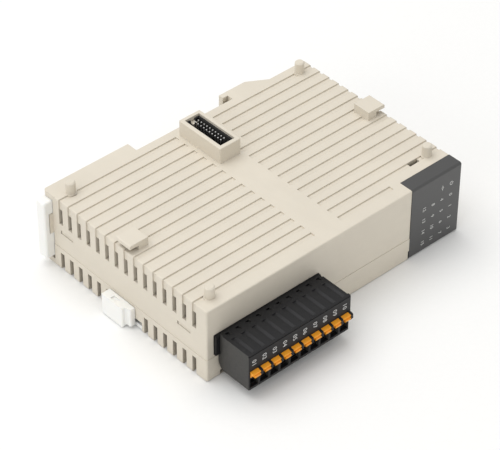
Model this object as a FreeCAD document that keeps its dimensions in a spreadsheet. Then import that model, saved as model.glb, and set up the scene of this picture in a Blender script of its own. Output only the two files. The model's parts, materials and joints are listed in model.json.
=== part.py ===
import FreeCAD, Part
import os
from collections import namedtuple

import Sketcher

# A slim expansion module for a programmable controller, lying on its side.
#   +X  towards the end with the indicator window (up, when the module hangs on its rail)
#   -Y  the front face with the terminals, +Y the rear face with the rail seat
#   +Z  the ribbed face with the bus header and the hooks for the next module
# The origin is the centre of the rail seat: middle of the channel, on the rear face, half way
# through the thickness.

DIMENSIONS = {
    # Housing shells
    "housing_length": 100.0,
    "housing_depth": 68.0,
    "housing_thickness": 26.0,
    "wall": 2.0,
    "parting_drop": 5.0,
    "ledge": 0.15,
    "corner_radius": 0.6,
    "rim_radius": 0.45,
    "fit_gap": 0.1,
    "tongue_rise": 0.8,
    "tongue_thickness": 0.8,
    # Ribs and vents
    "lane_count": 15,
    "lane_pitch": 4.21,
    "lane_start": 5.3,
    "groove_width": 1.7,
    "groove_depth": 0.42,
    "groove_left_stop": 5.2,
    "groove_right_stop": 5.0,
    "groove_rear_stop": 9.4,
    "groove_short_end": 26.0,
    "vent_low": 4.2,
    "vent_high": 9.5,
    "vent_lower_top": 6.8,
    # Rail feet and the clip's guides
    "foot_reach": 4.0,
    "foot_plate": 1.8,
    "foot_corner": 1.0,
    "channel_half": 18.0,
    "lip_reach": 2.0,
    "lip_gap": 2.2,
    "lip_top_end": 28.5,
    "lip_root_end": 35.2,
    "guide_rib_low": 0.8,
    "guide_rib_high": 6.4,
    "guide_rib_proud": 1.4,
    "guide_nose": 1.1,
    "clip_recess": 0.1,
    "keeper_inset": 2.6,
    "keeper_upper": 10.4,
    "keeper_lower": 9.1,
    # Locating pegs, their sockets and the hooks for the next module
    "peg_radius": 1.5,
    "peg_height": 4.0,
    "peg_chamfer": 0.4,
    "peg_left": 44.7,
    "peg_right": 44.6,
    "peg_left_front": 63.4,
    "peg_left_rear": 2.4,
    "peg_right_front": 58.6,
    "peg_right_rear": 3.4,
    "socket_radius": 1.6,
    "socket_depth": 4.2,
    "socket_deep": 4.4,
    "boss_half": 2.7,
    "hook_inner": 43.2,
    "hook_root": 46.5,
    "hook_front": 35.4,
    "hook_rear": 29.1,
    "hook_height": 3.0,
    "hook_lip": 1.3,
    # Bus connector
    "bus_x": 0.15,
    "bus_y": 12.2,
    "bus_pin_y": 12.0,
    "shroud_width": 8.1,
    "shroud_length": 18.6,
    "shroud_height": 5.6,
    "well_width": 5.6,
    "well_length": 16.0,
    "key_width": 1.6,
    "key_reach": 1.5,
    "key_drop": 1.6,
    "bus_pitch": 1.27,
    "bus_columns": 10,
    "bus_pin_radius": 0.24,
    "bus_pin_x": 0.3,
    "bus_pin_top": 5.25,
    # Indicator window and lights
    "window_left": 29.5,
    "window_return": 5.1,
    "window_face": 1.5,
    "window_lap": 1.2,
    "window_radius": 0.8,
    "light_x": 35.0,
    "light_pitch_x": 3.65,
    "light_z": 9.8,
    "light_pitch_z": 4.28,
    "light_radius": 0.8,
    # Terminal header and plug
    "pole_count": 10,
    "pole_pitch": 3.81,
    "terminal_x": 27.0,
    "header_left_end": 1.15,
    "header_right_end": 0.4,
    "header_height": 7.1,
    "header_low": 4.1,
    "header_proud": 0.9,
    "header_depth": 8.1,
    "plug_length": 38.1,
    "plug_front": 13.2,
    "plug_low": 9.2,
    "plug_top": 3.5,
    "insert_length": 37.5,
    "insert_low": 2.95,
    "insert_high": 2.1,
    "panel_low": 2.5,
    "button_width": 2.84,
    "button_low": 4.55,
    "button_high": 2.45,
    "button_proud": 1.3,
    "button_gap": 0.08,
    "wire_entry_z": 6.75,
    # Sliding catches
    "clip_proud": 3.0,
    "clip_low": 9.8,
    "clip_high": 11.08,
    "clip_hook": 3.2,
    "latch_front": 37.0,
    "latch_rear": 25.6,
    "latch_low": 12.8,
    "latch_high": 5.6,
    "latch_proud": 3.3,
    # Circuit boards
    "board_half": 46.4,
    "board_thickness": 1.6,
    "post_x": 43.0,
    "post_front": 54.0,
    "post_rear": 8.0,
}

doc = FreeCAD.newDocument("plc_module")
sheet = doc.addObject("Spreadsheet::Sheet", "Dims")
for row, (alias, number) in enumerate(DIMENSIONS.items(), start=1):
    sheet.set(f"A{row}", alias)
    sheet.set(f"B{row}", str(number))
    sheet.setAlias(f"B{row}", alias)
doc.recompute()


class Size:
    """A length that carries the spreadsheet formula it is worked out with."""

    def __init__(self, value, text):
        self.value = float(value)
        self.text = text

    def __add__(self, other):
        other = as_size(other)
        return Size(self.value + other.value, f"({self.text} + {other.text})")

    def __sub__(self, other):
        other = as_size(other)
        return Size(self.value - other.value, f"({self.text} - {other.text})")

    def __mul__(self, other):
        other = as_size(other)
        return Size(self.value * other.value, f"({self.text} * {other.text})")

    def __truediv__(self, other):
        other = as_size(other)
        return Size(self.value / other.value, f"({self.text} / {other.text})")

    def __neg__(self):
        return Size(-self.value, f"(0 - {self.text})")

    def __radd__(self, other):
        return as_size(other) + self

    def __rsub__(self, other):
        return as_size(other) - self

    def __rmul__(self, other):
        return as_size(other) * self


def as_size(number):
    if isinstance(number, Size):
        return number
    text = str(number) if number >= 0 else f"(0 - {-number})"
    return Size(number, text)


class Sheet:
    """Reads a named cell of the spreadsheet as a Size."""

    def __getattr__(self, alias):
        return Size(DIMENSIONS[alias], f"Dims.{alias}")


D = Sheet()
Circle = namedtuple("Circle", "x y radius")


# ---------------------------------------------------------------- modelling helpers


def bind(thing, path, size):
    """Set a property from a Size, so that it follows the spreadsheet."""
    thing.setExpression(path, as_size(size).text)


def rectangle(low_x, high_x, low_y, high_y):
    return [(low_x, low_y), (high_x, low_y), (high_x, high_y), (low_x, high_y)]


def around(centre_x, centre_y, width, height):
    half_w = as_size(width) / 2
    half_h = as_size(height) / 2
    return rectangle(centre_x - half_w, centre_x + half_w, centre_y - half_h, centre_y + half_h)


def mirrored(outline):
    """The same outline on the other side of the sketch's vertical axis."""
    if isinstance(outline, Circle):
        return Circle(-as_size(outline.x), outline.y, outline.radius)
    return [(-as_size(x), y) for x, y in reversed(outline)]


def both_ends(outlines):
    return outlines + [mirrored(outline) for outline in outlines]


def new_body(label):
    body = doc.addObject("PartDesign::Body", label)
    body.Label = label
    return body


def origin_feature(body, role):
    return [item for item in body.Origin.OriginFeatures if item.Role == role][0]


def fix_point(sketch, item, point, x, y):
    """Hold a sketch point at a distance from the sketch's origin on both axes."""
    for kind, size in (("DistanceX", as_size(x)), ("DistanceY", as_size(y))):
        number = sketch.addConstraint(Sketcher.Constraint(kind, -1, 1, item, point, size.value))
        if "Dims" in size.text:
            sketch.setExpression(f"Constraints[{number}]", size.text)


def draw_polygon(sketch, outline):
    corners = [FreeCAD.Vector(as_size(x).value, as_size(y).value, 0) for x, y in outline]
    first = sketch.GeometryCount
    count = len(corners)
    for index, corner in enumerate(corners):
        sketch.addGeometry(Part.LineSegment(corner, corners[(index + 1) % count]), False)
    for index in range(count):
        end_of, start_of = first + index, first + (index + 1) % count
        sketch.addConstraint(Sketcher.Constraint("Coincident", end_of, 2, start_of, 1))
    for index, (x, y) in enumerate(outline):
        fix_point(sketch, first + index, 1, x, y)


def draw_circle(sketch, circle):
    centre = FreeCAD.Vector(as_size(circle.x).value, as_size(circle.y).value, 0)
    radius = as_size(circle.radius)
    item = sketch.GeometryCount
    sketch.addGeometry(Part.Circle(centre, FreeCAD.Vector(0, 0, 1), radius.value), False)
    number = sketch.addConstraint(Sketcher.Constraint("Radius", item, radius.value))
    if "Dims" in radius.text:
        sketch.setExpression(f"Constraints[{number}]", radius.text)
    fix_point(sketch, item, 3, circle.x, circle.y)


def sketch_on(body, plane, height, outlines):
    """A sketch on an origin plane of the body, lifted to a height on the axis across it."""
    sketch = body.newObject("Sketcher::SketchObject", "Sketch")
    sketch.AttachmentSupport = [(origin_feature(body, plane + "_Plane"), "")]
    sketch.MapMode = "FlatFace"
    height = as_size(height)
    bind(sketch, "AttachmentOffset.Base.z", -height if plane == "XZ" else height)
    for outline in outlines:
        if isinstance(outline, Circle):
            draw_circle(sketch, outline)
        else:
            draw_polygon(sketch, outline)
    return sketch


def extrude(body, kind, plane, outlines, start, end):
    """Pad or Pocket between two heights on the axis across the plane, checked by volume."""
    before = 0.0 if body.Tip is None else body.Shape.Volume
    feature = body.newObject("PartDesign::" + kind, kind)
    body.Tip = feature
    feature.Profile = sketch_on(body, plane, start, outlines)
    bind(feature, "Length", as_size(end) - start)
    # The sketch normal is -Y on the XZ plane, and a Pocket cuts against the normal.
    feature.Reversed = (plane == "XZ") == (kind == "Pad")
    doc.recompute()
    change = body.Shape.Volume - before
    if (change if kind == "Pad" else -change) < 1e-4:
        raise RuntimeError(f"{body.Label}: a {kind} from {as_size(start).value} changed nothing")
    return feature


def pad(body, plane, outlines, start, end):
    return extrude(body, "Pad", plane, outlines, start, end)


def pocket(body, plane, outlines, start, end):
    return extrude(body, "Pocket", plane, outlines, start, end)


def repeat(body, features, axis, pitch, count):
    pattern = body.newObject("PartDesign::LinearPattern", "Pattern")
    pattern.Originals = features
    pattern.Direction = (origin_feature(body, axis + "_Axis"), [""])
    pattern.Mode = "Spacing"
    bind(pattern, "Offset", pitch)
    bind(pattern, "Occurrences", count)
    body.Tip = pattern
    doc.recompute()
    return pattern


def inside(number, limits):
    low, high = sorted(as_size(limit).value for limit in limits)
    return low - 1e-3 <= number <= high + 1e-3


def edges_along(body, direction, x=(-999, 999), y=(-999, 999), z=(-999, 999)):
    """Names of the straight edges along an axis whose middle lies inside the given limits."""
    names = []
    for number, edge in enumerate(body.Tip.Shape.Edges, start=1):
        if edge.Curve.TypeId != "Part::GeomLine":
            continue
        run = edge.tangentAt(edge.FirstParameter)
        if abs(getattr(run, direction)) < 0.999:
            continue
        middle = edge.CenterOfMass
        if inside(middle.x, x) and inside(middle.y, y) and inside(middle.z, z):
            names.append(f"Edge{number}")
    return names


def round_edges_at(body, height):
    """Names of the circular edges that lie at a height on Z."""
    names = []
    for number, edge in enumerate(body.Tip.Shape.Edges, start=1):
        if edge.Curve.TypeId == "Part::GeomCircle" and inside(edge.CenterOfMass.z, (height, height)):
            names.append(f"Edge{number}")
    return names


def dress(body, kind, names, size):
    """Fillet or Chamfer the named edges of the body's last feature."""
    if not names:
        raise RuntimeError(f"{body.Label}: no edges to {kind}")
    base = body.Tip
    feature = body.newObject("PartDesign::" + kind, kind)
    feature.Base = (base, names)
    bind(feature, "Radius" if kind == "Fillet" else "Size", size)
    body.Tip = feature
    doc.recompute()
    return feature


# ---------------------------------------------------------------- shared places

left = -D.housing_length / 2
right = D.housing_length / 2
front = -D.housing_depth
top = D.housing_thickness / 2
bottom = -D.housing_thickness / 2
parting = -D.parting_drop
inner_x = D.housing_length / 2 - D.wall
inner_front = front + D.wall
inner_rear = -D.wall
ceiling = top - D.wall
floor = bottom + D.wall
outside = 1.0
board_top = -D.header_low
board_bottom = board_top - D.board_thickness
seat_front = front - D.header_proud
plug_face = front - D.plug_front
plug_left = -D.terminal_x - D.plug_length / 2
plug_right = -D.terminal_x + D.plug_length / 2
header_left = plug_left - D.header_left_end
header_right = plug_right + D.header_right_end
bus_front = -D.bus_y - D.well_length / 2
bus_rear = -D.bus_y + D.well_length / 2
post_places = [(D.post_x, -D.post_front), (D.post_x, -D.post_rear)]
snap_spans = [(-60.8, -55.6), (-8.8, -3.6)]


def lane(number):
    """Middle of a groove lane on Y; lane 0 is the one nearest the front."""
    return front + D.lane_start + number * D.lane_pitch


def pole(number):
    """Middle of a terminal pole on X; pole 0 is the one nearest the vented end."""
    return -D.terminal_x + (number - (D.pole_count - 1) / 2) * D.pole_pitch


def lane_rectangle(low_x, high_x, number):
    half = D.groove_width / 2
    return rectangle(low_x, high_x, lane(number) - half, lane(number) + half)


# ---------------------------------------------------------------- housing


def foot_outlines():
    """The foot over the clip, and the fixed foot whose lip hooks the rail's edge."""
    clip_foot = rectangle(left + D.ledge, -D.channel_half, inner_rear / 2, D.foot_reach)
    fixed_foot = [
        (D.channel_half + D.lip_reach, inner_rear / 2),
        (D.channel_half + D.lip_reach, D.lip_gap),
        (D.channel_half, D.lip_gap),
        (D.channel_half, D.foot_reach),
        (D.lip_top_end, D.foot_reach),
        (D.lip_root_end, 0),
        (D.lip_root_end, inner_rear / 2),
    ]
    return clip_foot, fixed_foot


def clip_recess(body, low, high):
    """A shallow step in the rear wall, so that the rail rests beside the clip and not on it."""
    span = rectangle(left - outside, -D.channel_half + D.clip_hook + 0.2, low, high)
    pocket(body, "XZ", [span], -D.clip_recess, outside)


def keeper(body, low, high):
    """A bead under a foot plate that keeps the clip's flange against the housing."""
    span = rectangle(-45, -20, D.keeper_inset, D.foot_reach)
    pad(body, "XY", [span], low, high)


def window_seat(body, low, high, lap_low, lap_high, opening_low, opening_high):
    """A frame behind the front wall, and the rebates and opening for the indicator window."""
    gap = D.fit_gap
    frame_back = inner_front + 1.6
    pad(body, "XY", [rectangle(27.5, inner_x, inner_front, frame_back)], low, high)
    seat_x = D.window_left - gap
    face = rectangle(seat_x, right + outside, front - outside, front + D.window_face + gap)
    pocket(body, "XY", [face], bottom - outside, top + outside)
    lap = rectangle(seat_x, right + outside, front - outside, front + D.window_return + gap)
    pocket(body, "XY", [lap], lap_low, lap_high)
    opening = rectangle(31.5, 47.6, opening_low, opening_high)
    pocket(body, "XZ", [opening], front + D.window_face - gap, frame_back + gap)


def top_grooves(body):
    """Shallow grooves on the ribbed face; they run out over both ends."""
    shallow = top - D.groove_depth
    over = top + outside
    run_left = pocket(
        body, "XY", [lane_rectangle(left - outside, -D.groove_left_stop, 0)], shallow, over
    )
    repeat(body, [run_left], "Y", D.lane_pitch, D.lane_count)
    pocket(body, "XY", [lane_rectangle(D.groove_right_stop, D.groove_short_end, 0)], shallow, over)
    run_right = pocket(
        body, "XY", [lane_rectangle(D.groove_right_stop, right + outside, 1)], shallow, over
    )
    repeat(body, [run_right], "Y", D.lane_pitch, D.lane_count - 5)
    run_rear = pocket(
        body, "XY", [lane_rectangle(D.groove_rear_stop, right + outside, 11)], shallow, over
    )
    repeat(body, [run_rear], "Y", D.lane_pitch, D.lane_count - 11)


def upper_vents(body):
    """Vent slots through both ends, each with a recess that joins it to its groove on top."""
    recess_x = right - D.ledge - D.groove_depth
    half = D.groove_width / 2
    slot_outline = rectangle(lane(0) - half, lane(0) + half, D.vent_low, D.vent_high)
    first_slot = pocket(body, "YZ", [slot_outline], left - outside, -inner_x + outside)
    first_recess = pocket(
        body,
        "XY",
        [lane_rectangle(left - outside, -recess_x, 0)],
        D.vent_high - D.fit_gap,
        top + outside,
    )
    repeat(body, [first_slot, first_recess], "Y", D.lane_pitch, D.lane_count)
    slot_outline = rectangle(lane(1) - half, lane(1) + half, D.vent_low, D.vent_high)
    far_slot = pocket(body, "YZ", [slot_outline], inner_x - outside, right + outside)
    far_recess = pocket(
        body,
        "XY",
        [lane_rectangle(recess_x, right + outside, 1)],
        D.vent_high - D.fit_gap,
        top + outside,
    )
    repeat(body, [far_slot, far_recess], "Y", D.lane_pitch, D.lane_count - 1)


def peg_places():
    return [
        (-D.peg_left, -D.peg_left_front),
        (D.peg_right, -D.peg_right_rear),
        (-D.peg_left, -D.peg_left_rear),
        (D.peg_right, -D.peg_right_front),
    ]


def hook_outline():
    """Section of a hook in X and Z: a stem with a lip that reaches outwards."""
    hook_top = top + D.hook_height
    root = top - D.groove_depth - D.fit_gap
    return [
        (D.hook_inner, root),
        (D.hook_root, root),
        (D.hook_root, hook_top - D.hook_lip),
        (right - D.ledge, hook_top - D.hook_lip),
        (right - D.ledge, hook_top),
        (D.hook_inner, hook_top),
    ]


def bus_shroud(body):
    """The walled well round the bus header, with the rib that keys the mating half."""
    rim = top + D.shroud_height
    outer = around(D.bus_x, -D.bus_y, D.shroud_width, D.shroud_length)
    pad(body, "XY", [outer], ceiling + outside, rim)
    above = (top + D.groove_depth, rim)
    dress(body, "Fillet", edges_along(body, "z", x=(-6, 6), y=(-24, -2), z=above), 0.4)
    rim_edges = edges_along(body, "x", z=(rim, rim)) + edges_along(body, "y", z=(rim, rim))
    dress(body, "Fillet", rim_edges, 0.3)
    well = around(D.bus_x, -D.bus_y, D.well_width, D.well_length)
    pocket(body, "XY", [well], ceiling - outside, rim + outside)
    key = rectangle(
        D.bus_x - D.key_width / 2,
        D.bus_x + D.key_width / 2,
        bus_rear - D.key_reach,
        bus_rear + D.fit_gap,
    )
    pad(body, "XY", [key], ceiling, rim - D.key_drop)


def upper_shell():
    body = new_body("upper_shell")
    side = right - D.ledge
    face = front + D.ledge
    pad(body, "XY", [rectangle(-side, side, face, 0)], parting, top)
    dress(body, "Fillet", edges_along(body, "z", y=(face, face)), D.corner_radius)
    rim_edges = edges_along(body, "x", y=(face, face), z=(top, top))
    rim_edges += edges_along(body, "y", z=(top, top))
    dress(body, "Fillet", rim_edges, D.rim_radius)
    clip_foot, fixed_foot = foot_outlines()
    pad(body, "XY", [clip_foot], top - D.foot_plate, top)
    corner = edges_along(body, "z", x=(-side, -side), y=(D.foot_reach, D.foot_reach))
    dress(body, "Fillet", corner, D.foot_corner)
    pad(body, "XY", [fixed_foot], parting, top)
    pocket(body, "XZ", [rectangle(22.5, 27.0, parting + 2, top - 3)], 0.6, D.foot_reach + outside)
    clip_recess(body, parting - outside, top - D.foot_plate)
    rib = rectangle(-side, -D.channel_half, inner_rear / 2, D.guide_rib_proud)
    pad(body, "XY", [rib], -D.guide_rib_low, D.guide_rib_high)
    nose = rectangle(left - D.guide_nose, -side + outside, 0, D.guide_rib_proud)
    pad(body, "XY", [nose], -D.guide_rib_low, D.guide_rib_high)
    keeper(body, D.keeper_upper, top - outside)
    cavity = rectangle(-inner_x, inner_x, inner_front, inner_rear)
    pocket(body, "XY", [cavity], parting, ceiling)
    gap_and_tongue = D.tongue_thickness + D.fit_gap
    rebate = rectangle(
        -inner_x - gap_and_tongue,
        inner_x + gap_and_tongue,
        inner_front - gap_and_tongue,
        inner_rear + gap_and_tongue,
    )
    pocket(body, "XY", [rebate], parting, parting + D.tongue_rise + D.fit_gap)
    slits = [rectangle(low - 0.2, high + 0.2, 0.7, 1.95) for low, high in snap_spans]
    pocket(body, "YZ", slits, left - outside, right + outside)
    window_seat(
        body, parting, ceiling, top - D.window_lap - D.fit_gap, top + outside, parting, 9.7
    )
    terminal_opening = rectangle(
        header_left - D.fit_gap,
        header_right + D.fit_gap,
        -D.header_low - D.fit_gap,
        D.header_height - D.header_low + D.fit_gap,
    )
    pocket(body, "XZ", [terminal_opening], front - outside, inner_front + D.fit_gap)
    detent = rectangle(-34.95, -28.4, 7.8, 10.0)
    pocket(body, "XZ", [detent], -0.8, outside)
    posts = both_ends([Circle(x, y, 2.2) for x, y in post_places])
    pad(body, "XY", posts, board_top + 0.05, ceiling + D.fit_gap)
    bus_shroud(body)
    pocket(body, "XY", [lane_rectangle(37.5, 41.4, 1)], ceiling - outside, top + outside)
    top_grooves(body)
    upper_vents(body)
    peg_seats = [Circle(x, y, D.peg_radius + 0.3) for x, y in peg_places()]
    pad(body, "XY", peg_seats, ceiling + outside, top)
    pegs = [Circle(x, y, D.peg_radius) for x, y in peg_places()]
    pad(body, "XY", pegs, ceiling + outside, top + D.peg_height)
    dress(body, "Chamfer", round_edges_at(body, top + D.peg_height), D.peg_chamfer)
    pad(body, "XZ", both_ends([hook_outline()]), -D.hook_front, -D.hook_rear)
    hook_top = top + D.hook_height
    lips = edges_along(body, "y", x=(side, side), z=(hook_top, hook_top))
    lips += edges_along(body, "y", x=(-side, -side), z=(hook_top, hook_top))
    dress(body, "Fillet", lips, 0.5)
    return body


def latch_openings(body):
    """Openings for the next module's hook and for the neck of the latch slider."""
    over_x = right + outside
    wall_x = inner_x - D.fit_gap
    hook_slot = rectangle(43.0, over_x, -39.8, -28.8)
    pocket(body, "XY", both_ends([hook_slot]), bottom - outside, floor + D.fit_gap)
    hook_wall = rectangle(wall_x, over_x, -39.8, -28.8)
    pocket(body, "XY", both_ends([hook_wall]), bottom - outside, -9.7)
    neck = rectangle(wall_x, over_x, -35.1, -24.0)
    pocket(body, "XY", both_ends([neck]), bottom - outside, -7.1)


def snap_tabs(body):
    """Spring tabs that stand inside the upper shell and catch in its slits."""
    roots = [rectangle(46.8, inner_x + 0.05, low, high) for low, high in snap_spans]
    pad(body, "XY", both_ends(roots), floor - outside, parting)
    tab = [
        (46.8, parting - 0.05),
        (47.85, parting - 0.05),
        (47.85, 0.78),
        (49.6, 0.78),
        (49.6, 1.7),
        (47.85, 1.9),
        (46.8, 1.9),
    ]
    for low, high in snap_spans:
        pad(body, "XZ", both_ends([tab]), low, high)


def lower_grooves(body):
    """Shallow grooves under the module, and the vent slots that open from them."""
    shallow = bottom + D.groove_depth
    under = bottom - outside
    near_run = pocket(
        body, "XY", [lane_rectangle(left - outside, -D.groove_left_stop, 0)], under, shallow
    )
    repeat(body, [near_run], "Y", D.lane_pitch, D.lane_count)
    far_run = pocket(
        body, "XY", [lane_rectangle(D.groove_right_stop, right + outside, 2)], under, shallow
    )
    repeat(body, [far_run], "Y", D.lane_pitch, D.lane_count - 2)
    first = pocket(
        body, "XY", [lane_rectangle(left - outside, -inner_x, 0)], under, -D.vent_lower_top
    )
    repeat(body, [first], "Y", D.lane_pitch, 6)
    first_far = pocket(
        body, "XY", [lane_rectangle(inner_x, right + outside, 1)], under, -D.vent_lower_top
    )
    repeat(body, [first_far], "Y", D.lane_pitch, 5)
    rear_pair = both_ends([lane_rectangle(left - outside, -inner_x, 10)])
    rear = pocket(body, "XY", rear_pair, under, -D.vent_lower_top)
    repeat(body, [rear], "Y", D.lane_pitch, 5)


def lower_shell():
    body = new_body("lower_shell")
    pad(body, "XY", [rectangle(left, right, front, 0)], bottom, parting)
    dress(body, "Fillet", edges_along(body, "z", y=(front, front)), D.corner_radius)
    rim_edges = edges_along(body, "x", y=(front, front), z=(bottom, bottom))
    rim_edges += edges_along(body, "y", z=(bottom, bottom))
    dress(body, "Fillet", rim_edges, D.rim_radius)
    clip_foot, fixed_foot = foot_outlines()
    pad(body, "XY", [clip_foot], bottom, bottom + D.foot_plate)
    corner = edges_along(body, "z", x=(left, left + D.ledge), y=(D.foot_reach, D.foot_reach))
    dress(body, "Fillet", corner, D.foot_corner)
    pad(body, "XY", [fixed_foot], bottom, parting)
    pocket(body, "XZ", [rectangle(22.5, 27.0, bottom + 2, parting - 2)], 0.6, D.foot_reach + outside)
    clip_recess(body, bottom + D.foot_plate, parting + outside)
    keeper(body, bottom + outside, -D.keeper_lower)
    cavity = rectangle(-inner_x, inner_x, inner_front, inner_rear)
    pocket(body, "XY", [cavity], floor, parting)
    tongue = D.tongue_thickness
    ring = rectangle(
        -inner_x - tongue, inner_x + tongue, inner_front - tongue, inner_rear + tongue
    )
    pad(body, "XY", [ring, cavity], parting - outside, parting + D.tongue_rise)
    window_seat(
        body, floor, parting, bottom - outside, bottom + D.window_lap + D.fit_gap, floor, outside
    )
    pocket(body, "XY", [rectangle(29.0, 29.6, front - outside, front + 1)], bottom - 1, -9.7)
    pocket(body, "XZ", [rectangle(-45.0, -43.4, -12.5, -11.2)], front - outside, front + 1.2)
    under = bottom - outside
    bus_opening = around(D.bus_x, -D.bus_y, D.shroud_width + 0.4, D.shroud_length + 0.4)
    pocket(body, "XY", [bus_opening], under, floor + D.fit_gap)
    latch_openings(body)
    posts = both_ends([Circle(x, y, 2.5) for x, y in post_places])
    pad(body, "XY", posts, floor - outside, board_bottom - 0.05)
    pins = both_ends([Circle(x, y, 1.0) for x, y in post_places])
    pad(body, "XY", pins, board_bottom - outside, board_top - 0.3)
    snap_tabs(body)
    holder = rectangle(29.6, 31.8, -64.2, -60.2)
    pad(body, "XY", [holder], floor - 0.3, -3.4)
    pocket(body, "XY", [rectangle(30.9, 32.8, -62.4, -61.4)], floor, outside)
    lower_grooves(body)
    peg_sockets(body)
    return body


def peg_sockets(body):
    """Two round sockets locate the next module; the two square ones only clear its pegs."""
    half = D.boss_half
    bosses = []
    for x, y in peg_places():
        rear_edge = min((y + half).value, -0.7)
        bosses.append(rectangle(x - half, x + half, y - half, rear_edge))
    pad(body, "XY", bosses, bottom, bottom + D.socket_deep + 0.4)
    first, second, third, fourth = peg_places()
    pocket(body, "XY", [Circle(*first, D.socket_radius)], bottom, bottom + D.socket_deep)
    pocket(body, "XY", [Circle(*second, D.socket_radius)], bottom, bottom + D.socket_depth)
    side = 2 * D.socket_radius + 0.2
    clearances = [around(*third, side, side), around(*fourth, side, side)]
    pocket(body, "XY", clearances, bottom, bottom + D.socket_depth + 0.1)


def indicator_window():
    """Smoked cover: a plate on the front face with a lap over each side face."""
    body = new_body("indicator_window")
    back = front + D.window_return
    inner_lap = top - D.window_lap
    section = [
        (front, bottom),
        (back, bottom),
        (back, -inner_lap),
        (front + D.window_face, -inner_lap),
        (front + D.window_face, inner_lap),
        (back, inner_lap),
        (back, top),
        (front, top),
    ]
    pad(body, "YZ", [section], D.window_left, right)
    long_edges = edges_along(body, "x", y=(front, front))
    dress(body, "Fillet", long_edges, D.window_radius)
    dress(body, "Fillet", edges_along(body, "z", x=(right, right), y=(front, front)), 0.4)
    plate_back = front + D.window_face
    flange = [
        (31.6, floor + 0.1),
        (32.8, floor + 0.1),
        (32.8, 8.6),
        (47.5, 8.6),
        (47.5, 9.6),
        (31.6, 9.6),
    ]
    pad(body, "XZ", [flange], plate_back - 0.1, plate_back + 1.5)
    return body


def light_places():
    """Centres of the lights in X and Z: a grid of 4 by 4 and two more in a fifth row."""
    places = []
    for column in range(4):
        rows = 5 if column >= 2 else 4
        for level in range(rows):
            x = D.light_x + column * D.light_pitch_x
            places.append((x, -D.light_z + level * D.light_pitch_z))
    return places


def light_guide():
    """Clear block with one peg of light for each position behind the window."""
    body = new_body("light_guide")
    pad(body, "XZ", [rectangle(33.2, 47.2, -10.8, 8.4)], -65.2, -64.2)
    prongs = [Circle(x, z, D.light_radius) for x, z in light_places()]
    pad(body, "XZ", prongs, front + D.window_face + 0.1, -65.1)
    stubs = [Circle(x, z, D.light_radius) for x, z in light_places()]
    pad(body, "XZ", stubs, -64.3, -63.2)
    return body


# ---------------------------------------------------------------- circuit boards


def status_leds():
    body = new_body("status_leds")
    chips = [around(x, z, 1.2, 0.8) for x, z in light_places()]
    pad(body, "XZ", chips, -63.1, -62.35)
    return body


def indicator_board():
    body = new_body("indicator_board")
    pad(body, "XZ", [rectangle(31.0, 47.4, -10.8, 10.4)], -62.3, -61.5)
    return body


def main_board():
    body = new_body("main_board")
    outline = [
        (-D.board_half, -65.8),
        (27.0, -65.8),
        (27.0, -56.5),
        (D.board_half, -56.5),
        (D.board_half, -2.6),
        (-D.board_half, -2.6),
    ]
    pad(body, "XY", [outline], board_bottom, board_top)
    holes = both_ends([Circle(x, y, 1.15) for x, y in post_places])
    pocket(body, "XY", holes, board_bottom - outside, board_top + outside)
    pin_hole = pocket(
        body, "XY", [Circle(pole(0), -59.8, 0.75)], board_bottom - outside, board_top + outside
    )
    repeat(body, [pin_hole], "X", D.pole_pitch, D.pole_count)
    return body


def bus_pin_places():
    places = []
    for side in (-0.5, 0.5):
        for number in range(10):
            x = D.bus_pin_x + side * D.bus_pitch
            y = -D.bus_pin_y + (number - (D.bus_columns - 1) / 2) * D.bus_pitch
            places.append((x, y))
    return places


def bus_header_body():
    """Tall header: an open box in the housing's well with a pin field in its floor."""
    body = new_body("bus_header_body")
    rim = top + D.shroud_height - 0.8
    gap = D.fit_gap
    outer = around(D.bus_x, -D.bus_y, D.well_width - 2 * gap, D.well_length - 2 * gap)
    pad(body, "XY", [outer], board_top, rim)
    inner = around(D.bus_x, -D.bus_y, D.well_width - 1.2, D.well_length - 1.2)
    pocket(body, "XY", [inner], top - 0.5, rim + outside)
    key = rectangle(
        D.bus_x - D.key_width / 2 - gap,
        D.bus_x + D.key_width / 2 + gap,
        bus_rear - D.key_reach - gap,
        bus_rear + gap,
    )
    pocket(body, "XY", [key], ceiling - gap, rim + outside)
    holes = [Circle(x, y, D.bus_pin_radius) for x, y in bus_pin_places()]
    pocket(body, "XY", holes, top - 2.5, rim)
    return body


def bus_header_pins():
    body = new_body("bus_header_pins")
    pins = [Circle(x, y, D.bus_pin_radius) for x, y in bus_pin_places()]
    pad(body, "XY", pins, top - 2.5, top + D.bus_pin_top)
    dress(body, "Chamfer", round_edges_at(body, top + D.bus_pin_top), 0.1)
    return body


def bus_socket_body():
    """The mating half of the bus header, reached through the opening in the lower shell."""
    body = new_body("bus_socket_body")
    pad(body, "XY", [rectangle(D.bus_x - 2, D.bus_x + 2, -19.3, -6.2)], -12.4, board_bottom)
    holes = [Circle(x, y, 0.45) for x, y in bus_pin_places()]
    pocket(body, "XY", holes, -13, board_bottom - 0.6)
    return body


def bus_socket_contacts():
    body = new_body("bus_socket_contacts")
    sleeves = [Circle(x, y, 0.45) for x, y in bus_pin_places()]
    bores = [Circle(x, y, 0.3) for x, y in bus_pin_places()]
    pad(body, "XY", sleeves + bores, -12.0, board_bottom - 0.6)
    return body


def board_link_body():
    """Pin strip that carries the indicator board's signals to the main board."""
    body = new_body("board_link_body")
    pad(body, "XY", [rectangle(30.5, 40.0, -56.2, -53.7)], board_top, board_top + 2.5)
    return body


def board_link_pins():
    body = new_body("board_link_pins")
    first = pad(body, "XZ", [around(31.5, board_top + 1.25, 0.5, 0.5)], -61.5, -56.2)
    repeat(body, [first], "X", 1.5, 6)
    return body


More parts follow.
